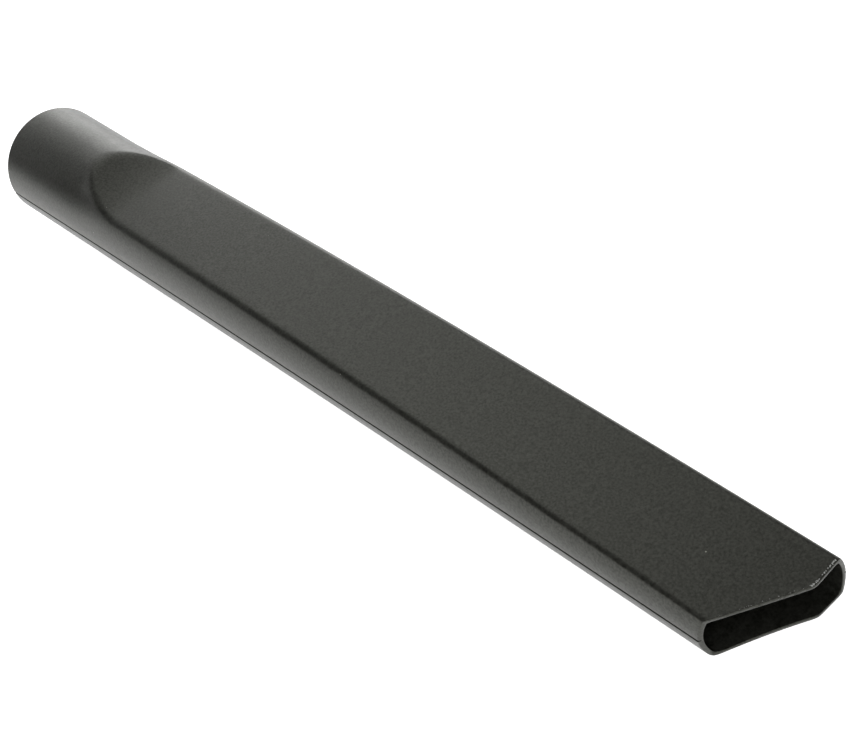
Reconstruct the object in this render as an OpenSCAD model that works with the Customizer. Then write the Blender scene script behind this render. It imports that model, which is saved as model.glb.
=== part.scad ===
// Crevice nozzle for a vacuum cleaner: a round push-on socket that runs through a scooped
// transition into a long, flat, tapering duct with a slanted mouth and a blunt tip.
// Two half shells meet on the flat middle plane (z = 0) in a stepped lap joint.
// +X runs from the open end of the socket to the mouth, +Z is up, millimetres.

/* [Socket] */
// Inside diameter of the socket, the outside of the tube it is pushed on
socket_bore = 32; // [28:0.5:38]
// Wall of the socket at its open end
socket_wall = 1.8; // [1.6:0.1:3]
// How far the tube goes in before it meets the stop
socket_depth = 30; // [20:1:32]
// Length of the plain conical collar, open end to the round duct
collar_len = 34; // [34:1:40]
// How much the collar's outside radius shrinks over its length
collar_draft = 0.5; // [0:0.1:0.8]

/* [Duct] */
// Overall length, open end to blunt tip
total_len = 300; // [200:5:420]
// Wall of the duct where it leaves the collar
wall = 1.5; // [1.2:0.1:2]
// Wall of the duct at the mouth
mouth_wall = 1; // [1:0.1:1.6]
// Where the flats begin to cut into the round duct
scoop_start = 43; // [42:1:60]
// Length of the scooped ramp that leads down to each flat
scoop_len = 22; // [15:1:40]
// Thickness over the two flats where the scoop ends
flat_thick = 23.6; // [18:0.2:26]
// Width of each flat where the scoop ends
flat_width = 26.2; // [24:0.2:28]
// Swell of the sides half way along the duct
side_swell = 0.4; // [0:0.1:1]
// How far the middle of each flat is crowned where the scoop ends
flat_crown = 0.3; // [0:0.1:0.6]
// Swell of the flats half way along the duct
flat_swell = 0.6; // [0:0.1:1]
// Length of the rounded corner between flat and side
corner_len = 2; // [0.8:0.1:2.5]

/* [Mouth] */
// Width over the sides at the tip
mouth_width = 29.5; // [26:0.1:32]
// Thickness over the flats at the tip
mouth_thick = 12.4; // [10:0.2:16]
// Width of each flat at the tip
mouth_flat = 26.6; // [24:0.2:28]
// How far the middle of each flat is sunk at the tip
mouth_sink = 0.6; // [0:0.1:1]
// Width of the blunt tip that is square to the duct
tip_width = 9.1; // [4:0.1:14]
// How far the slanted edge runs back from the tip
slant_back = 12.5; // [0:0.5:40]
// How softly the slanted edge turns into the blunt tip
kink_blend = 1.5; // [0.5:0.5:8]
// How far the mouth's lower edge stands behind its upper edge
mouth_lean = 0.7; // [0:0.1:3]

/* [Seam] */
// Height of the shadow gap seen between the shells
seam_gap = 0.3; // [0.1:0.05:0.5]
// How far the lower shell's lip stands up behind the upper shell's skirt
lip_rise = 1.2; // [0.8:0.1:2]
// Clearance between lip and skirt
lip_clear = 0.1; // [0.05:0.05:0.2]

/* [Output] */
// Which sub-part to draw

/* [Hidden] */
socket_r = socket_bore / 2;
end_r = socket_r + socket_wall;
neck_r = end_r - collar_draft;
scoop_end = scoop_start + scoop_len;
half_gap = seam_gap / 2;
lap_mid = 0.55;
lip_face = lap_mid + lip_clear / 2;
skirt_face = lap_mid - lip_clear / 2;
stop_r = neck_r - wall - 0.2;
embed = 2;
overrun = 5;
far = 60;
min_flat = 0.6;
arc_steps = 9;
corner_steps = 3;
flat_steps = 4;
round_fn = 128;
plastic = [0.16, 0.16, 0.15];

function mix(a, b, t) = a + (b - a) * t;
function clip(t) = min(1, max(0, t));
function ease(t) = t * t * (3 - 2 * t);
function reversed(list) = [for (i = [len(list) - 1:-1:0]) list[i]];
function arch(t) = 4 * t * (1 - t);

// Fractions of the way along the duct, and along the flats
function duct_at(x) = clip((x - collar_len) / (total_len - collar_len));
function flats_at(x) = (x - scoop_end) / (total_len - scoop_end);
function scoop_at(x) = clip((x - scoop_start) / scoop_len);

// Wall of the duct, thinner towards the mouth
function wall_at(x) = mix(wall, mouth_wall, duct_at(x));

// Half width over the sides, half width and half thickness of the flats
function side_y(x) =
    mix(neck_r, mouth_width / 2, duct_at(x)) + side_swell * arch(duct_at(x));
function flat_y(x) = mix(flat_width, mouth_flat, flats_at(x)) / 2;
function flat_z(x) =
    mix(flat_thick, mouth_thick, flats_at(x)) / 2 + flat_swell * arch(max(0, flats_at(x)));
function sink(x) = mix(-flat_crown, mouth_sink, clip(flats_at(x)));

// Radius of the side arcs: round at the neck, then the arc through side and corner
function corner_r(w, y, z) = (pow(w - y, 2) + z * z) / (2 * (w - y));
function side_r(x) =
    mix(side_y(x), corner_r(side_y(x), flat_y(x), flat_z(x)), ease(scoop_at(x)));

// Height at which the flat, or the ramp that leads to it, cuts the side arcs
function cut_z(x) =
    mix(flat_z(x), side_y(x), pow(1 - scoop_at(x), 1.5));
function corner_y(x, d) =
    max(min_flat, side_y(x) - side_r(x)
        + sqrt(max(0, pow(side_r(x) - d, 2) - pow(cut_z(x) - d, 2))));

// One quarter of the section at x, d inside the outer face: up the side arc from height z0,
// round the corner and in over the flat to the middle
function quarter(x, d, z0) =
    let (
        r = side_r(x) - d,
        yc = side_y(x) - side_r(x),
        yk = corner_y(x, d),
        zk = sqrt(r * r - pow(yk - yc, 2)),
        cut = min(corner_len, yk / 2),
        a0 = asin(z0 / r),
        a1 = atan2(zk, yk - yc),
        a2 = a1 - cut / r * 180 / PI,
        pa = [yc + r * cos(a2), r * sin(a2)],
        pc = [yk, zk],
        pb = [yk - cut, zk]
    )
    concat(
        [for (i = [0:arc_steps]) let (a = mix(a0, a2, i / arc_steps))
            [yc + r * cos(a), r * sin(a)]],
        [for (i = [1:corner_steps]) let (t = i / (corner_steps + 1))
            mix(mix(pa, pc, t), mix(pc, pb, t), t)],
        [for (i = [0:flat_steps]) let (y = pb.x * (1 - i / flat_steps))
            [y, zk - sink(x) * (1 - pow(y / pb.x, 2)) * clip(pb.x - 2)]]
    );

// Half of the section at x, from the right seam over the top to the left seam
function half_ring(x, d, z0) =
    let (q = quarter(x, d, z0), n = len(q))
    concat(q, [for (i = [n - 2:-1:0]) [-q[i].x, q[i].y]]);

function side_point(x, d, z) =
    [side_y(x) - side_r(x) + sqrt(pow(side_r(x) - d, 2) - z * z), z];
function flip(p) = [-p.x, p.y];

// Closed wall section of one shell: outside, step at the left seam, inside, step at the right
function wall_section(x, face, step) =
    concat(
        half_ring(x, 0.02, half_gap),
        [flip(side_point(x, face, half_gap)), flip(side_point(x, face, step))],
        reversed(half_ring(x, wall_at(x), step)),
        [side_point(x, face, step), side_point(x, face, half_gap)]
    );

duct_stations = concat(
    [collar_len - embed],
    [for (i = [0:2]) mix(collar_len + 1, scoop_start, i / 2)],
    [for (i = [1:9]) scoop_start + scoop_len * pow(i / 9, 1.3)],
    [for (i = [1:10]) mix(scoop_end, total_len, i / 10)],
    [total_len + overrun]
);

// End face of the wall: a strip of quads between outside and inside, and at each seam a
// hexagon round the step, listed from the corner that sees all of it
function end_face(n, step) =
    let (
        half = n / 2 - 2,
        left = [half + 1, half + 2, half + 3, half - 2, half - 1, half],
        right = [n - 2, n - 1, 0, 1, n - 4, n - 3],
        turn = step > half_gap ? 0 : 5
    )
    concat(
        [for (hexagon = [left, right]) [for (i = [0:5]) hexagon[(i + turn) % 6]]],
        [for (j = [1:half - 3]) [j, j + 1, n - 4 - j, n - 3 - j]]
    );

// Wall of one shell, lofted through its sections
module duct_shell(face, step) {
    rings = [for (x = duct_stations) wall_section(x, face, step)];
    n = len(rings[0]);
    last = len(rings) - 1;
    points = [for (i = [0:last]) for (p = rings[i]) [duct_stations[i], p.x, p.y]];
    sides = [for (i = [0:last - 1]) for (j = [0:n - 1])
        let (k = (j + 1) % n, a = i * n + j, b = i * n + k)
            each [[a, a + n, b], [b, a + n, b + n]]];
    front = end_face(n, step);
    back = [for (face = front) [for (v = reversed(face)) last * n + v]];
    polyhedron(points = points, faces = concat(sides, front, back), convexity = 8);
}

// Everything above height z
module above(z) {
    translate([-far, -far, z])
        cube([total_len + 2 * far, 2 * far, far]);
}

// Cone with the collar's draft, d inside its outer face
module collar_cone(d) {
    rotate([0, 90, 0])
        cylinder(h = collar_len, r1 = end_r - d, r2 = neck_r - d, $fn = round_fn);
}

// The hollow of the socket: the bore, and the narrower hole past the stop
module socket_hollow() {
    rotate([0, 90, 0]) {
        translate([0, 0, -1])
            cylinder(h = socket_depth + 1, r = socket_r, $fn = round_fn);
        translate([0, 0, socket_depth - 1])
            cylinder(h = collar_len, r = stop_r, $fn = round_fn);
    }
}

// Half collar with the skirt that hangs outside the lip
module skirt_collar() {
    difference() {
        intersection() {
            collar_cone(0);
            above(half_gap);
        }
        socket_hollow();
        difference() {
            collar_cone(skirt_face);
            above(lip_rise);
        }
    }
}

// Half collar with the lip that stands up behind the skirt
module lip_collar() {
    difference() {
        union() {
            intersection() {
                collar_cone(0);
                above(half_gap);
            }
            intersection() {
                collar_cone(lip_face);
                above(-lip_rise);
            }
        }
        socket_hollow();
    }
}

// How far the mouth's edge stands back from the tip, at y
function mouth_back(y) =
    let (
        kink_y = mouth_width / 2 - tip_width,
        past = kink_y - y,
        near = max(kink_blend - abs(past), 0) / kink_blend,
        soft = max(past, 0) + pow(near, 3) * kink_blend / 6
    )
    slant_back / (kink_y + mouth_width / 2) * soft;

// Everything past the slanted edge and the blunt tip
module beyond_mouth() {
    tip_y = mouth_width / 2;
    kink_y = tip_y - tip_width;
    bends = [for (i = [-6:6]) kink_y - i / 6 * kink_blend];
    edge = concat([far, tip_y + 1], bends, [-tip_y - 1, -far]);
    multmatrix([[1, 0, mouth_lean / mouth_thick, -mouth_lean / 2], [0, 1, 0, 0], [0, 0, 1, 0]])
        translate([0, 0, -far])
            linear_extrude(height = 2 * far)
                polygon(concat(
                    [for (y = edge) [total_len - mouth_back(y), y]],
                    [[total_len + far, -far], [total_len + far, far]]
                ));
}

// Upper half, with a skirt round its edge
module upper_shell() {
    color(plastic)
        difference() {
            union() {
                skirt_collar();
                duct_shell(skirt_face, lip_rise);
            }
            beyond_mouth();
        }
}

// Lower half, with the lip that locates the upper one
module lower_shell() {
    color(plastic)
        difference() {
            mirror([0, 0, 1])
                union() {
                    lip_collar();
                    duct_shell(lip_face, -lip_rise);
                }
            beyond_mouth();
        }
}

upper_shell();
lower_shell();
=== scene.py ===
import math

import bpy
from mathutils import Matrix, Vector


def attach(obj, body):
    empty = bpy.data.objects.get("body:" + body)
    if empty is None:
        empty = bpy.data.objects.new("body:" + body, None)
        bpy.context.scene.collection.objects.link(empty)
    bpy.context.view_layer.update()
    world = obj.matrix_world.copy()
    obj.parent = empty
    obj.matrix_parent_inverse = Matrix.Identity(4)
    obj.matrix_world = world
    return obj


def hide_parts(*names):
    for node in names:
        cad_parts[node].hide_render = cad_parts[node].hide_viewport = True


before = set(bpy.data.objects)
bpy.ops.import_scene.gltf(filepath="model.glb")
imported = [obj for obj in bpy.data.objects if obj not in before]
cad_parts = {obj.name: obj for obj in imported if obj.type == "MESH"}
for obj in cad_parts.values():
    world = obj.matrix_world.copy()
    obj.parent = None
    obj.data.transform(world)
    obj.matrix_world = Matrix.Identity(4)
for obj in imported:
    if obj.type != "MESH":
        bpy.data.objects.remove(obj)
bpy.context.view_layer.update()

# ---------------------------------------------------------------------------------------------
# The two half shells, injection moulded in black polypropylene and bonded along both sides.
# The lower one's lip stands up behind the upper one's skirt, so outside only a fine shadow gap
# shows, with a thin ridge of flash under it.

MM = 0.001


def add(tree, kind, ins=(), **settings):
    """Adds a node with its settings, and sets or links its inputs, by order or by name."""
    made = tree.nodes.new(kind)
    for name, value in settings.items():
        setattr(made, name, value)
    for key, value in ins.items() if isinstance(ins, dict) else enumerate(ins):
        if isinstance(value, bpy.types.Node):
            value = value.outputs[0]
        if isinstance(value, bpy.types.NodeSocket):
            tree.links.new(value, made.inputs[key])
        else:
            made.inputs[key].default_value = value
    return made


# The duct is round at the socket and turns into two long flats between curved sides: a scooped
# ramp cuts each flat into the round tube, and the flats close in towards the mouth.
duct_sizes = {
    "Length": 300 * MM,
    "End radius": 17.77 * MM,
    "Neck radius": 17.27 * MM,
    "Collar length": 34 * MM,
    "Scoop end": 65 * MM,
    "Scoop length": 22 * MM,
    "Flat half width": 13.1 * MM,
    "Flat half thickness": 11.8 * MM,
    "Mouth half width": 14.75 * MM,
    "Mouth half thickness": 6.2 * MM,
    "Mouth flat half width": 13.3 * MM,
    "Side swell": 0.4 * MM,
    "Flat swell": 0.6 * MM,
    "Crown": 0.3 * MM,
    "Sink": 0.6 * MM,
    "Scoop blend": 1.0 * MM,
    "Corner blend": 1.8 * MM,
}
# The mouth is square across its blunt tip and slants back from there, with its lower edge a
# little behind its upper one. Turn is 1 for the upper half and -1 for the lower.
mouth_sizes = {
    "Tip width": 9.1 * MM,
    "Slant back": 12.5 * MM,
    "Slant start": 230 * MM,
    "Kink blend": 1.5 * MM,
    "Lean": 0.7 * MM,
    "Bow": 0.86 * MM,
    "Turn": 1.0,
}
RAMP_POWER = 1.5  # how quickly the ramp levels out
LEAST_SINE = 0.03  # keeps the flats' rule finite at the seams, where the sides take over
# Distance from the middle line to the wall, by station along the duct, angle round it and depth
# in the wall.
SECTION_RULE = (
    # share of the way from collar to mouth, and how far out the sides stand there
    ("past collar", "SUBTRACT", "Station", "Collar length"),
    ("duct run", "SUBTRACT", "Length", "Collar length"),
    ("duct share", "DIVIDE", "past collar", "duct run"),
    ("duct share", "MAXIMUM", "duct share", 0.0),
    ("duct left", "SUBTRACT", 1.0, "duct share"),
    ("duct arch", "MULTIPLY", "duct share", "duct left"),
    ("duct arch", "MULTIPLY", "duct arch", 4.0),
    ("collar share", "DIVIDE", "Station", "Collar length"),
    ("collar share", "MINIMUM", "collar share", 1.0),
    ("draft", "SUBTRACT", "Neck radius", "End radius"),
    ("collar radius", "MULTIPLY_ADD", "collar share", "draft", "End radius"),
    ("narrowing", "SUBTRACT", "Mouth half width", "Neck radius"),
    ("side", "MULTIPLY_ADD", "duct share", "narrowing", "collar radius"),
    ("side", "MULTIPLY_ADD", "duct arch", "Side swell", "side"),
    # half width and half thickness of the flats
    ("past scoop", "SUBTRACT", "Station", "Scoop end"),
    ("flat run", "SUBTRACT", "Length", "Scoop end"),
    ("flat share", "DIVIDE", "past scoop", "flat run"),
    ("widening", "SUBTRACT", "Mouth flat half width", "Flat half width"),
    ("flat y", "MULTIPLY_ADD", "flat share", "widening", "Flat half width"),
    ("thinning", "SUBTRACT", "Mouth half thickness", "Flat half thickness"),
    ("flat z", "MULTIPLY_ADD", "flat share", "thinning", "Flat half thickness"),
    ("flat share", "MAXIMUM", "flat share", 0.0),
    ("flat left", "SUBTRACT", 1.0, "flat share"),
    ("flat arch", "MULTIPLY", "flat share", "flat left"),
    ("flat arch", "MULTIPLY", "flat arch", 4.0),
    ("flat z", "MULTIPLY_ADD", "flat arch", "Flat swell", "flat z"),
    # arc of the side, through the seam and the edge of the flat, round before the scoop
    ("corner in", "SUBTRACT", "side", "flat y"),
    ("in squared", "MULTIPLY", "corner in", "corner in"),
    ("corner sum", "MULTIPLY_ADD", "flat z", "flat z", "in squared"),
    ("arc", "DIVIDE", "corner sum", "corner in"),
    ("arc", "MULTIPLY", "arc", 0.5),
    ("scoop share", "DIVIDE", "past scoop", "Scoop length"),
    ("scoop share", "ADD", "scoop share", 1.0),
    ("turning", "MAXIMUM", "scoop share", 0.0),
    ("turning", "MINIMUM", "turning", 1.0),
    ("ease", "MULTIPLY_ADD", "turning", -2.0, 3.0),
    ("ease", "MULTIPLY", "ease", "turning"),
    ("ease", "MULTIPLY", "ease", "turning"),
    ("arc gain", "SUBTRACT", "arc", "side"),
    ("arc", "MULTIPLY_ADD", "ease", "arc gain", "side"),
    ("centre", "SUBTRACT", "side", "arc"),
    # height of the ramp and the flat, sunk a little in the middle towards the mouth
    ("ramp left", "SUBTRACT", 1.0, "scoop share"),
    ("ramp left", "MAXIMUM", "ramp left", 0.0),
    ("ramp left", "POWER", "ramp left", RAMP_POWER),
    ("ramp rise", "SUBTRACT", "side", "flat z"),
    ("cut", "MULTIPLY_ADD", "ramp left", "ramp rise", "flat z"),
    ("cos", "COSINE", "Angle"),
    ("sin", "SINE", "Angle"),
    ("over", "MAXIMUM", "sin", LEAST_SINE),
    ("across", "DIVIDE", "cos", "over"),
    ("across", "MULTIPLY", "across", "cut"),
    ("across", "DIVIDE", "across", "flat y"),
    ("across", "MULTIPLY", "across", "across"),
    ("dip", "SUBTRACT", 1.0, "across"),
    ("dip", "MAXIMUM", "dip", 0.0),
    ("sinking", "ADD", "Sink", "Crown"),
    ("sinking", "MULTIPLY", "sinking", "flat share"),
    ("sinking", "SUBTRACT", "sinking", "Crown"),
    ("dip", "MULTIPLY", "dip", "sinking"),
    ("cut", "SUBTRACT", "cut", "dip"),
    ("cut", "SUBTRACT", "cut", "Depth"),
    ("to flat", "DIVIDE", "cut", "over"),
    # distance to the arc, and the smaller of the two with a rounded corner
    ("arc in", "SUBTRACT", "arc", "Depth"),
    ("arc in", "MULTIPLY", "arc in", "arc in"),
    ("aside", "MULTIPLY", "centre", "sin"),
    ("aside", "MULTIPLY", "aside", "aside"),
    ("reach", "SUBTRACT", "arc in", "aside"),
    ("reach", "SQRT", "reach"),
    ("lean", "ABSOLUTE", "cos"),
    ("to arc", "MULTIPLY_ADD", "centre", "lean", "reach"),
    ("blend gain", "SUBTRACT", "Corner blend", "Scoop blend"),
    ("blend", "MULTIPLY_ADD", "turning", "blend gain", "Scoop blend"),
    ("radius", "SMOOTH_MIN", "to arc", "to flat", "blend"),
)


def follow(tree, rule, given):
    """Adds one math node for each line of a rule, and returns every named value."""
    values = dict(given)
    for name, operation, *ins in rule:
        ins = [values[i] if isinstance(i, str) else i for i in ins]
        values[name] = add(tree, "ShaderNodeMath", ins, operation=operation, label=name)
    return values


section = bpy.data.node_groups.new("duct section", "GeometryNodeTree")
for name in ("Station", "Angle", "Depth", *duct_sizes):
    section.interface.new_socket(name, in_out="INPUT", socket_type="NodeSocketFloat")
section.interface.new_socket("Radius", in_out="OUTPUT", socket_type="NodeSocketFloat")
section_in = add(section, "NodeGroupInput")
values = follow(section, SECTION_RULE, {s.name: s for s in section_in.outputs if s.name})
add(section, "NodeGroupOutput", [values["radius"]])

# A point of the wall is found in two turns: once for how far the mouth stands back there, and
# again for the section at that station. A moulding this long leaves its mould slightly bowed.
SLANT_RULE = (
    ("cos", "COSINE", "Angle"),
    ("y", "MULTIPLY", "first radius", "cos"),
    ("kink", "SUBTRACT", "Mouth half width", "Tip width"),
    ("past kink", "SUBTRACT", "kink", "y"),
    ("past kink", "SMOOTH_MAX", "past kink", 0.0, "Kink blend"),
    ("slant run", "ADD", "kink", "Mouth half width"),
    ("slope", "DIVIDE", "Slant back", "slant run"),
    ("back", "MULTIPLY", "past kink", "slope"),
    ("sin", "SINE", "Angle"),
    ("height", "MULTIPLY", "first radius", "sin"),
    ("height", "MULTIPLY", "height", "Turn"),
    ("height", "DIVIDE", "height", "Mouth half thickness"),
    ("below", "SUBTRACT", 1.0, "height"),
    ("below", "MULTIPLY", "below", 0.5),
    ("back", "MULTIPLY_ADD", "below", "Lean", "back"),
    ("leaning", "SUBTRACT", "Station", "Slant start"),
    ("lean run", "SUBTRACT", "Length", "Slant start"),
    ("leaning", "DIVIDE", "leaning", "lean run"),
    ("leaning", "MAXIMUM", "leaning", 0.0),
    ("back", "MULTIPLY", "back", "leaning"),
    ("station", "SUBTRACT", "Station", "back"),
)
BOW_RULE = (
    ("y", "MULTIPLY", "second radius", "cos"),
    ("z", "MULTIPLY", "second radius", "sin"),
    ("duct run", "SUBTRACT", "Length", "Collar length"),
    ("share", "SUBTRACT", "station", "Collar length"),
    ("share", "DIVIDE", "share", "duct run"),
    ("share", "MAXIMUM", "share", 0.0),
    ("left", "SUBTRACT", 1.0, "share"),
    ("bow", "MULTIPLY", "share", "left"),
    ("bow", "MULTIPLY", "bow", 4.0),
    ("y", "MULTIPLY_ADD", "bow", "Bow", "y"),
)
wall_point = bpy.data.node_groups.new("wall point", "GeometryNodeTree")
for name in ("Station", "Angle", "Depth", *duct_sizes, *mouth_sizes):
    wall_point.interface.new_socket(name, in_out="INPUT", socket_type="NodeSocketFloat")
wall_point.interface.new_socket("Position", in_out="OUTPUT", socket_type="NodeSocketVector")
wall_in = add(wall_point, "NodeGroupInput")
given = {s.name: s for s in wall_in.outputs if s.name}
ins = {name: given[name] for name in ("Station", "Angle", "Depth", *duct_sizes)}
given["first radius"] = add(wall_point, "GeometryNodeGroup", node_tree=section, ins=ins)
values = follow(wall_point, SLANT_RULE, given)
ins["Station"] = values["station"]
values["second radius"] = add(wall_point, "GeometryNodeGroup", node_tree=section, ins=ins)
values = follow(wall_point, BOW_RULE, values)
placed = add(wall_point, "ShaderNodeCombineXYZ", [values[i] for i in ("station", "y", "z")])
add(wall_point, "NodeGroupOutput", [placed])

# Each half is bent from a blank as long as the tool, as wide as the half section and as thick as
# the wall.
shell_sizes = {
    "Socket radius": 16 * MM,
    "Socket depth": 30 * MM,
    "Stop rise": 0.26 * MM,
    "Wall": 1.5 * MM,
    "Mouth wall": 1.0 * MM,
    "Lap depth": 0.55 * MM,
    "Half gap": 0.15 * MM,
    "Lip rise": 1.2 * MM,
    "Rim round": 0.22 * MM,
    "Seam round": 0.2 * MM,
    "Flash": 0.0,
    "Flash place": 0.3 * MM,
    "Flash half width": 0.22 * MM,
}
END_CROWDING = -0.93 / math.tau  # of stations towards the socket's edge and the mouth
SEAM_CROWDING = -0.80 / math.tau  # of steps towards the two seams
FLASH_FADE = 8 * MM  # the flash thins out over this length at the socket's edge
AFTER_FIRST, HALF_WAY, BEFORE_LAST = 0.2, 0.5, 0.8  # places between the blank's four layers
BLANK_RULE = (
    # station and angle of each point of the blank, crowded towards the ends and the seams
    ("u", "ADD", "blank x", 0.5),
    ("v", "ADD", "blank y", 0.5),
    ("w", "ADD", "blank z", 0.5),
    ("wave", "MULTIPLY", "u", math.tau),
    ("wave", "SINE", "wave"),
    ("u", "MULTIPLY_ADD", "wave", END_CROWDING, "u"),
    ("station", "MULTIPLY", "u", "Length"),
    ("wave", "MULTIPLY", "v", math.tau),
    ("wave", "SINE", "wave"),
    ("v", "MULTIPLY_ADD", "wave", SEAM_CROWDING, "v"),
    # four layers through the wall: outside, skirt, lip and inside
    ("outside", "LESS_THAN", "w", AFTER_FIRST),
    ("inside", "GREATER_THAN", "w", BEFORE_LAST),
    ("behind", "GREATER_THAN", "w", HALF_WAY),
    ("step", "SUBTRACT", "Lip rise", "Half gap"),
    ("seam height", "MULTIPLY_ADD", "behind", "step", "Half gap"),
    ("seam angle", "DIVIDE", "seam height", "Neck radius"),
    ("span", "MULTIPLY_ADD", "seam angle", -2.0, math.pi),
    ("angle", "MULTIPLY_ADD", "v", "span", "seam angle"),
    ("draft", "SUBTRACT", "End radius", "Neck radius"),
    ("draft", "DIVIDE", "draft", "Collar length"),
    ("draft", "MULTIPLY", "draft", "station"),
    ("bore wall", "SUBTRACT", "End radius", "Socket radius"),
    ("bore wall", "SUBTRACT", "bore wall", "draft"),
    ("bore wall", "SUBTRACT", "bore wall", "Wall"),
    ("in socket", "LESS_THAN", "station", "Socket depth"),
    ("before duct", "LESS_THAN", "station", "Collar length"),
    ("at stop", "SUBTRACT", "before duct", "in socket"),
    ("duct run", "SUBTRACT", "Length", "Collar length"),
    ("down duct", "SUBTRACT", "station", "Collar length"),
    ("down duct", "DIVIDE", "down duct", "duct run"),
    ("down duct", "MAXIMUM", "down duct", 0.0),
    ("thinning", "SUBTRACT", "Mouth wall", "Wall"),
    ("duct wall", "MULTIPLY_ADD", "down duct", "thinning", "Wall"),
    ("inner wall", "MULTIPLY_ADD", "in socket", "bore wall", "duct wall"),
    ("inner wall", "MULTIPLY_ADD", "at stop", "Stop rise", "inner wall"),
    ("within", "SUBTRACT", 1.0, "outside"),
    ("depth", "MULTIPLY", "within", "Lap depth"),
    ("rest", "SUBTRACT", "inner wall", "Lap depth"),
    ("depth", "MULTIPLY_ADD", "inside", "rest", "depth"),
    # rounded edges round both ends of the wall
    ("to mouth", "SUBTRACT", "Length", "station"),
    ("from end", "MINIMUM", "station", "to mouth"),
    ("from end", "MINIMUM", "from end", "Rim round"),
    ("short", "SUBTRACT", "Rim round", "from end"),
    ("short", "MULTIPLY", "short", "short"),
    ("keep", "MULTIPLY", "Rim round", "Rim round"),
    ("keep", "SUBTRACT", "keep", "short"),
    ("keep", "SQRT", "keep"),
    ("taken", "SUBTRACT", "Rim round", "keep"),
    ("facing", "SUBTRACT", "outside", "inside"),
    ("depth", "MULTIPLY_ADD", "taken", "facing", "depth"),
    # rounded outer edge along the seam, and the ridge of flash
    ("v left", "SUBTRACT", 1.0, "v"),
    ("from seam", "MINIMUM", "v", "v left"),
    ("from seam", "MULTIPLY", "from seam", math.pi),
    ("from seam", "MULTIPLY", "from seam", "Neck radius"),
    ("on round", "MINIMUM", "from seam", "Seam round"),
    ("short", "SUBTRACT", "Seam round", "on round"),
    ("short", "MULTIPLY", "short", "short"),
    ("keep", "MULTIPLY", "Seam round", "Seam round"),
    ("keep", "SUBTRACT", "keep", "short"),
    ("keep", "SQRT", "keep"),
    ("taken", "SUBTRACT", "Seam round", "keep"),
    ("depth", "MULTIPLY_ADD", "taken", "outside", "depth"),
    ("ridge", "SUBTRACT", "from seam", "Flash place"),
    ("ridge", "DIVIDE", "ridge", "Flash half width"),
    ("ridge", "MULTIPLY", "ridge", "ridge"),
    ("ridge", "SUBTRACT", 1.0, "ridge"),
    ("ridge", "MAXIMUM", "ridge", 0.0),
    ("fade", "DIVIDE", "station", FLASH_FADE),
    ("fade", "MINIMUM", "fade", 1.0),
    ("ridge", "MULTIPLY", "ridge", "fade"),
    ("ridge", "MULTIPLY", "ridge", "outside"),
    ("ridge", "MULTIPLY", "ridge", "Flash"),
    ("depth", "SUBTRACT", "depth", "ridge"),
)
shell_tree = bpy.data.node_groups.new("half shell", "GeometryNodeTree")
for name in ("Stations", "Steps round"):
    shell_tree.interface.new_socket(name, in_out="INPUT", socket_type="NodeSocketInt")
for name in (*duct_sizes, *mouth_sizes, *shell_sizes):
    shell_tree.interface.new_socket(name, in_out="INPUT", socket_type="NodeSocketFloat")
shell_tree.interface.new_socket("Finish", in_out="INPUT", socket_type="NodeSocketMaterial")
shell_tree.interface.new_socket("Shell", in_out="OUTPUT", socket_type="NodeSocketGeometry")
tree_in = add(shell_tree, "NodeGroupInput")
given = {s.name: s for s in tree_in.outputs if s.name}
blank = add(
    shell_tree,
    "GeometryNodeMeshCube",
    {
        "Size": (1, 1, 1),
        "Vertices X": given["Stations"],
        "Vertices Y": given["Steps round"],
        "Vertices Z": 4,
    },
)
place = add(shell_tree, "ShaderNodeSeparateXYZ", [add(shell_tree, "GeometryNodeInputPosition")])
given.update({f"blank {axis}": place.outputs[i] for i, axis in enumerate("xyz")})
values = follow(shell_tree, BLANK_RULE, given)
ins = {name: given[name] for name in (*duct_sizes, *mouth_sizes)}
ins.update({"Station": values["station"], "Angle": values["angle"], "Depth": values["depth"]})
formed = add(shell_tree, "GeometryNodeGroup", ins, node_tree=wall_point)
folded = add(shell_tree, "ShaderNodeCombineXYZ", [1.0, 1.0, given["Turn"]])
formed = add(shell_tree, "ShaderNodeVectorMath", [formed, folded], operation="MULTIPLY")
bent = add(shell_tree, "GeometryNodeSetPosition", {"Geometry": blank, "Position": formed})
turned = add(
    shell_tree,
    "FunctionNodeCompare",
    {"A": given["Turn"], "B": 0.0},
    data_type="FLOAT",
    operation="LESS_THAN",
)
righted = add(
    shell_tree,
    "GeometryNodeSwitch",
    {"Switch": turned, "False": bent, "True": add(shell_tree, "GeometryNodeFlipFaces", [bent])},
    input_type="GEOMETRY",
)
smooth = add(shell_tree, "GeometryNodeSetShadeSmooth", {"Geometry": righted})
real = add(shell_tree, "GeometryNodeRealizeInstances", [smooth])
finished = add(
    shell_tree, "GeometryNodeSetMaterial", {"Geometry": real, "Material": given["Finish"]}
)
add(shell_tree, "NodeGroupOutput", [finished])


def linear(hex_colour):
    """The linear colour of an sRGB hex value."""
    parts = [int(hex_colour[i : i + 2], 16) / 255 for i in (1, 3, 5)]
    return (*(c / 12.92 if c <= 0.04045 else ((c + 0.055) / 1.055) ** 2.4 for c in parts), 1)


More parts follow.
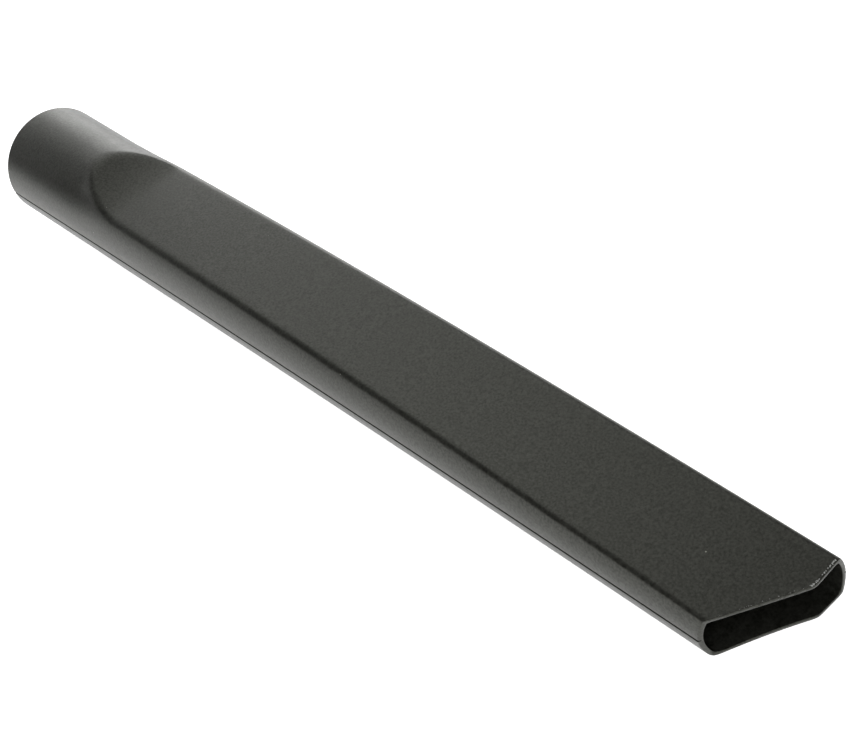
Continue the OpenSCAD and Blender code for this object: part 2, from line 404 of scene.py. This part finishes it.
# Black polypropylene off a spark-eroded mould: its fine grain breaks the shine into a soft
# sheen, weaker in the grain's pits, mottled where pigment and grain vary, faintly olive when
# seen face on, with a few pale specks of dust. The grain is drawn coarser than the 0.1 mm or so
# that is typical of such moulds, so that it shows.
plastic = bpy.data.materials.new("grained_black_polypropylene")
plastic.use_nodes = True
look = plastic.node_tree
look.nodes.clear()
spot = add(look, "ShaderNodeTexCoord").outputs["Object"]
GRAIN = 1 / (0.6 * MM)
GRAIN_HEIGHT = 0.035 * MM
MOTTLE = 1 / (1.8 * MM)
DARK_PIGMENT, PALE_PIGMENT, DUST = "#11110E", "#21211E", "#8C8C84"
grain = add(
    look, "ShaderNodeTexNoise", {"Vector": spot, "Scale": GRAIN, "Detail": 2.0, "Roughness": 0.6}
)
mottle = add(look, "ShaderNodeTexNoise", {"Vector": spot, "Scale": MOTTLE, "Detail": 2.0})
pigment = add(look, "ShaderNodeMath", [mottle, grain], operation="ADD")
pigment = add(
    look,
    "ShaderNodeMapRange",
    {"Value": pigment, "From Min": 0.75, "From Max": 1.25, "To Min": 0.0, "To Max": 1.0},
)
tone = add(
    look,
    "ShaderNodeMix",
    {0: pigment, 6: linear(DARK_PIGMENT), 7: linear(PALE_PIGMENT)},
    data_type="RGBA",
)
OLIVE_SHEEN = (0.975, 1.0, 0.87, 1)
DUST_APART = 7 * MM
DUST_RADIUS = 0.16 * MM
dust = add(look, "ShaderNodeTexVoronoi", {"Vector": spot, "Scale": 1 / DUST_APART})
dust = add(
    look, "ShaderNodeMath", [dust, DUST_RADIUS / DUST_APART], operation="LESS_THAN"
)
dusty = add(
    look,
    "ShaderNodeMix",
    {0: dust, 6: tone.outputs[2], 7: linear(DUST)},
    data_type="RGBA",
)
rough = add(
    look,
    "ShaderNodeMapRange",
    {"Value": mottle, "From Min": 0.3, "From Max": 0.7, "To Min": 0.33, "To Max": 0.39},
)
glint = add(
    look,
    "ShaderNodeMapRange",
    {"Value": grain, "From Min": 0.3, "From Max": 0.7, "To Min": 0.38, "To Max": 0.62},
)
raised = add(
    look, "ShaderNodeBump", {"Strength": 1.0, "Distance": GRAIN_HEIGHT, "Height": grain}
)
surface = add(
    look,
    "ShaderNodeBsdfPrincipled",
    {
        "Base Color": dusty.outputs[2],
        "Roughness": rough,
        "IOR": 1.49,
        "Specular IOR Level": glint,
        "Specular Tint": OLIVE_SHEEN,
        "Normal": raised,
    },
)
add(look, "ShaderNodeOutputMaterial", {"Surface": surface})

SHARP_EDGE = math.radians(50)
# each half: the node it stands for, and the sizes that differ
SHELLS = {
    "upper_half": ("upper_shell", {}),
    "lower_half": ("lower_shell", {"Turn": -1.0, "Lip rise": -1.2 * MM, "Flash": 0.08 * MM}),
}
for piece_name, (node, changes) in SHELLS.items():
    host = bpy.data.objects.new(piece_name + "_host", bpy.data.meshes.new(piece_name + "_host"))
    bpy.context.scene.collection.objects.link(host)
    modifier = host.modifiers.new("form", "NODES")
    modifier.node_group = shell_tree
    chosen = {**duct_sizes, **mouth_sizes, **shell_sizes, **changes}
    chosen.update({"Stations": 270, "Steps round": 160, "Finish": plastic})
    for item in shell_tree.interface.items_tree:
        if item.in_out == "INPUT":
            modifier[item.identifier] = chosen[item.name]
    evaluated = host.evaluated_get(bpy.context.evaluated_depsgraph_get())
    shell_mesh = bpy.data.meshes.new_from_object(evaluated)
    bpy.data.objects.remove(host)
    shell_mesh.set_sharp_from_angle(angle=SHARP_EDGE)
    shell = bpy.data.objects.new(piece_name, shell_mesh)
    bpy.context.scene.collection.objects.link(shell)
    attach(shell, "root")
    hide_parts(node)

# ---------------------------------------------------------------------------------------------
# Burrs left where the mouth was trimmed: torn flakes of the same plastic along the blunt tip's
# upper edge, and a few finer ones along the slanted edge. They are part of the upper shell's
# moulding, whitened where they were stretched.

BACK_SEED_STEP = 100  # the second row of random numbers is drawn this far from the first
SUNK = 0.02 * MM  # so that each flake is rooted in the wall
# flakes along the blunt tip, from the far corner to the bend
burr_sizes = {
    "Inset": 0.3 * MM,
    "Scatter": 0.25 * MM,
    "Flake size": 0.17 * MM,
    "First angle": math.radians(25),
    "Last angle": math.radians(48),
}
BURR_RULE = (
    ("angle span", "SUBTRACT", "Last angle", "First angle"),
    ("angle", "MULTIPLY_ADD", "along", "angle span", "First angle"),
    ("in", "MULTIPLY_ADD", "back", "Scatter", "Inset"),
    ("station", "SUBTRACT", "Length", "in"),
)
burr_tree = bpy.data.node_groups.new("trimming burrs", "GeometryNodeTree")
for name in ("Flakes", "Seed"):
    burr_tree.interface.new_socket(name, in_out="INPUT", socket_type="NodeSocketInt")
for name in (*duct_sizes, *mouth_sizes, *burr_sizes):
    burr_tree.interface.new_socket(name, in_out="INPUT", socket_type="NodeSocketFloat")
burr_tree.interface.new_socket("Finish", in_out="INPUT", socket_type="NodeSocketMaterial")
burr_tree.interface.new_socket("Burrs", in_out="OUTPUT", socket_type="NodeSocketGeometry")
burr_in = add(burr_tree, "NodeGroupInput")
given = {s.name: s for s in burr_in.outputs if s.name}
row = add(burr_tree, "GeometryNodeMeshLine", {"Count": given["Flakes"]})
for name, skip in (("along", 0), ("back", BACK_SEED_STEP)):
    seed = add(burr_tree, "ShaderNodeMath", [given["Seed"], skip], operation="ADD")
    drawn = add(burr_tree, "FunctionNodeRandomValue", {"Seed": seed}, data_type="FLOAT")
    given[name] = drawn.outputs["Value"]
values = follow(burr_tree, BURR_RULE, given)
ins = {name: given[name] for name in (*duct_sizes, *mouth_sizes)}
ins.update({"Station": values["station"], "Angle": values["angle"], "Depth": SUNK})
spots = add(burr_tree, "GeometryNodeGroup", ins, node_tree=wall_point)
row = add(burr_tree, "GeometryNodeSetPosition", {"Geometry": row, "Position": spots})
flake = add(
    burr_tree, "GeometryNodeMeshIcoSphere", {"Radius": given["Flake size"], "Subdivisions": 1}
)
spin = add(
    burr_tree,
    "FunctionNodeRandomValue",
    {"Max": (math.tau, math.tau, math.tau), "Seed": given["Seed"]},
    data_type="FLOAT_VECTOR",
)
squash = add(
    burr_tree,
    "FunctionNodeRandomValue",
    {"Min": (0.25, 0.25, 0.25), "Max": (1.3, 1.3, 1.3), "Seed": given["Seed"]},
    data_type="FLOAT_VECTOR",
)
flakes = add(
    burr_tree,
    "GeometryNodeInstanceOnPoints",
    {"Points": row, "Instance": flake, "Rotation": spin, "Scale": squash},
)
flakes = add(burr_tree, "GeometryNodeRealizeInstances", [flakes])
flakes = add(
    burr_tree, "GeometryNodeSetMaterial", {"Geometry": flakes, "Material": given["Finish"]}
)
add(burr_tree, "NodeGroupOutput", [flakes])

# Stretched and torn polypropylene: whitened and glossy, so that single flakes glint.
torn = bpy.data.materials.new("torn_whitened_polypropylene")
torn.use_nodes = True
torn_look = torn.node_tree
torn_skin = torn_look.nodes["Principled BSDF"]
torn_skin.inputs["Roughness"].default_value = 0.25
TORN = 1 / (0.5 * MM)
torn_spot = add(torn_look, "ShaderNodeTexCoord").outputs["Object"]
whiteness = add(torn_look, "ShaderNodeTexNoise", {"Vector": torn_spot, "Scale": TORN})
whiteness = add(
    torn_look,
    "ShaderNodeMix",
    {0: whiteness, 6: linear("#3A3A38"), 7: linear("#D8DAD6")},
    data_type="RGBA",
)
torn_look.links.new(whiteness.outputs[2], torn_skin.inputs["Base Color"])

BURRS = {
    "tip_burrs": {"Flakes": 44, "Seed": 7},
    "slant_burrs": {
        "Flakes": 26,
        "Seed": 3,
        "Flake size": 0.08 * MM,
        "First angle": math.radians(48),
        "Last angle": math.radians(150),
    },
}
for piece_name, changes in BURRS.items():
    host = bpy.data.objects.new(piece_name + "_host", bpy.data.meshes.new(piece_name + "_host"))
    bpy.context.scene.collection.objects.link(host)
    modifier = host.modifiers.new("grow", "NODES")
    modifier.node_group = burr_tree
    chosen = {**duct_sizes, **mouth_sizes, **burr_sizes, "Finish": torn, **changes}
    for item in burr_tree.interface.items_tree:
        if item.in_out == "INPUT":
            modifier[item.identifier] = chosen[item.name]
    evaluated = host.evaluated_get(bpy.context.evaluated_depsgraph_get())
    burr_mesh = bpy.data.meshes.new_from_object(evaluated)
    bpy.data.objects.remove(host)
    burrs = bpy.data.objects.new(piece_name, burr_mesh)
    bpy.context.scene.collection.objects.link(burrs)
    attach(burrs, "root")

# ---------------------------------------------------------------------------------------------
# The studio: a glowing pale floor that leaves hardly any shadow, soft boxes all round, and the
# camera. The tool rests on the end of its collar and on the mouth's lower edge, so the floor
# lies at a slant under its middle line.

DROP_AT_SOCKET = 19.1 * MM
DROP_AT_MOUTH = 6.3 * MM
FLOOR_REACH = 6  # metres to each side
floor_slope = (DROP_AT_SOCKET - DROP_AT_MOUTH) / duct_sizes["Length"]
floor_mesh = bpy.data.meshes.new("floor")
corners = [(-1, -1), (1, -1), (1, 1), (-1, 1)]
corners = [(x * FLOOR_REACH, y * FLOOR_REACH) for x, y in corners]
floor_mesh.from_pydata(
    [(x, y, floor_slope * x - DROP_AT_SOCKET) for x, y in corners], [], [(0, 1, 2, 3)]
)
floor = bpy.data.objects.new("floor", floor_mesh)
bpy.context.scene.collection.objects.link(floor)
# Opal acrylic lit from below: matt, evenly white and without a reflection of the tool.
opal = bpy.data.materials.new("backlit_opal_acrylic")
opal.use_nodes = True
opal_skin = opal.node_tree.nodes["Principled BSDF"].inputs
opal_skin["Base Color"].default_value = linear("#F4F4F4")
opal_skin["Roughness"].default_value = 0.9
opal_skin["Specular IOR Level"].default_value = 0.0
opal_skin["Emission Color"].default_value = (1, 1, 1, 1)
opal_skin["Emission Strength"].default_value = 0.78
floor_mesh.materials.append(opal)

# dim walls, a little darker overhead
WALLS_LOW, WALLS_HIGH, TURNING_HEIGHT = 0.1, 0.05, 0.6
sky = bpy.data.worlds.new("studio")
bpy.context.scene.world = sky
sky.use_nodes = True
sky_tree = sky.node_tree
sky_tree.nodes.clear()
upward = add(
    sky_tree, "ShaderNodeSeparateXYZ", [add(sky_tree, "ShaderNodeTexCoord").outputs["Generated"]]
)
walls = add(
    sky_tree,
    "ShaderNodeMapRange",
    {
        "Value": upward.outputs["Z"],
        "From Max": TURNING_HEIGHT,
        "To Min": WALLS_LOW,
        "To Max": WALLS_HIGH,
    },
    interpolation_type="SMOOTHSTEP",
)
walls = add(sky_tree, "ShaderNodeBackground", {"Color": (1, 1, 1, 1), "Strength": walls})
add(sky_tree, "ShaderNodeOutputWorld", {"Surface": walls})

# each soft box: its name, its angle round from -Y towards +X, its height, its width and power
SOFT_BOXES = (
    ("overhead", 30, 72, 40, 0.52),
    ("right_front", 44, 42, 50, 1.12),
    ("right", 78, 40, 45, 0.45),
    ("left_fill", -50, 38, 80, 0.08),
    ("low_left", -90, 4, 34, 0.70),
    ("low_back", -120, 4, 34, 0.88),
    ("low_far", -150, 5, 34, 0.62),
    ("mid_back", -105, 26, 34, 0.13),
    ("high_back", -120, 48, 34, 0.38),
)
for name, round_from_front, height, width, power in SOFT_BOXES:
    box = bpy.data.objects.new(name, bpy.data.lights.new(name, "SUN"))
    box.data.energy = power
    box.data.angle = math.radians(width)
    aim = Matrix.Rotation(math.radians(round_from_front), 3, "Z")
    aim = aim @ Matrix.Rotation(math.radians(-height), 3, "X") @ Vector((0, -1, 0))
    box.rotation_mode = "QUATERNION"
    box.rotation_quaternion = aim.to_track_quat("Z", "Y")
    bpy.context.scene.collection.objects.link(box)

camera = bpy.data.objects.new("camera", bpy.data.cameras.new("camera"))
bpy.context.scene.collection.objects.link(camera)
camera.data.lens = 61.0
camera.data.clip_start, camera.data.clip_end = 0.01, 40
CAMERA_RIGHT = Vector((0.64108728, 0.71244914, -0.28534772))
CAMERA_UP = Vector((-0.38974941, 0.62252046, 0.67864841))
CAMERA_AT = Vector((417.830, -109.937, 240.569)) * MM
turn = Matrix((CAMERA_RIGHT, CAMERA_UP, CAMERA_RIGHT.cross(CAMERA_UP))).transposed()
camera.matrix_world = Matrix.Translation(CAMERA_AT) @ turn.to_4x4()
bpy.context.scene.camera = camera
bpy.context.scene.view_settings.view_transform = "Standard"
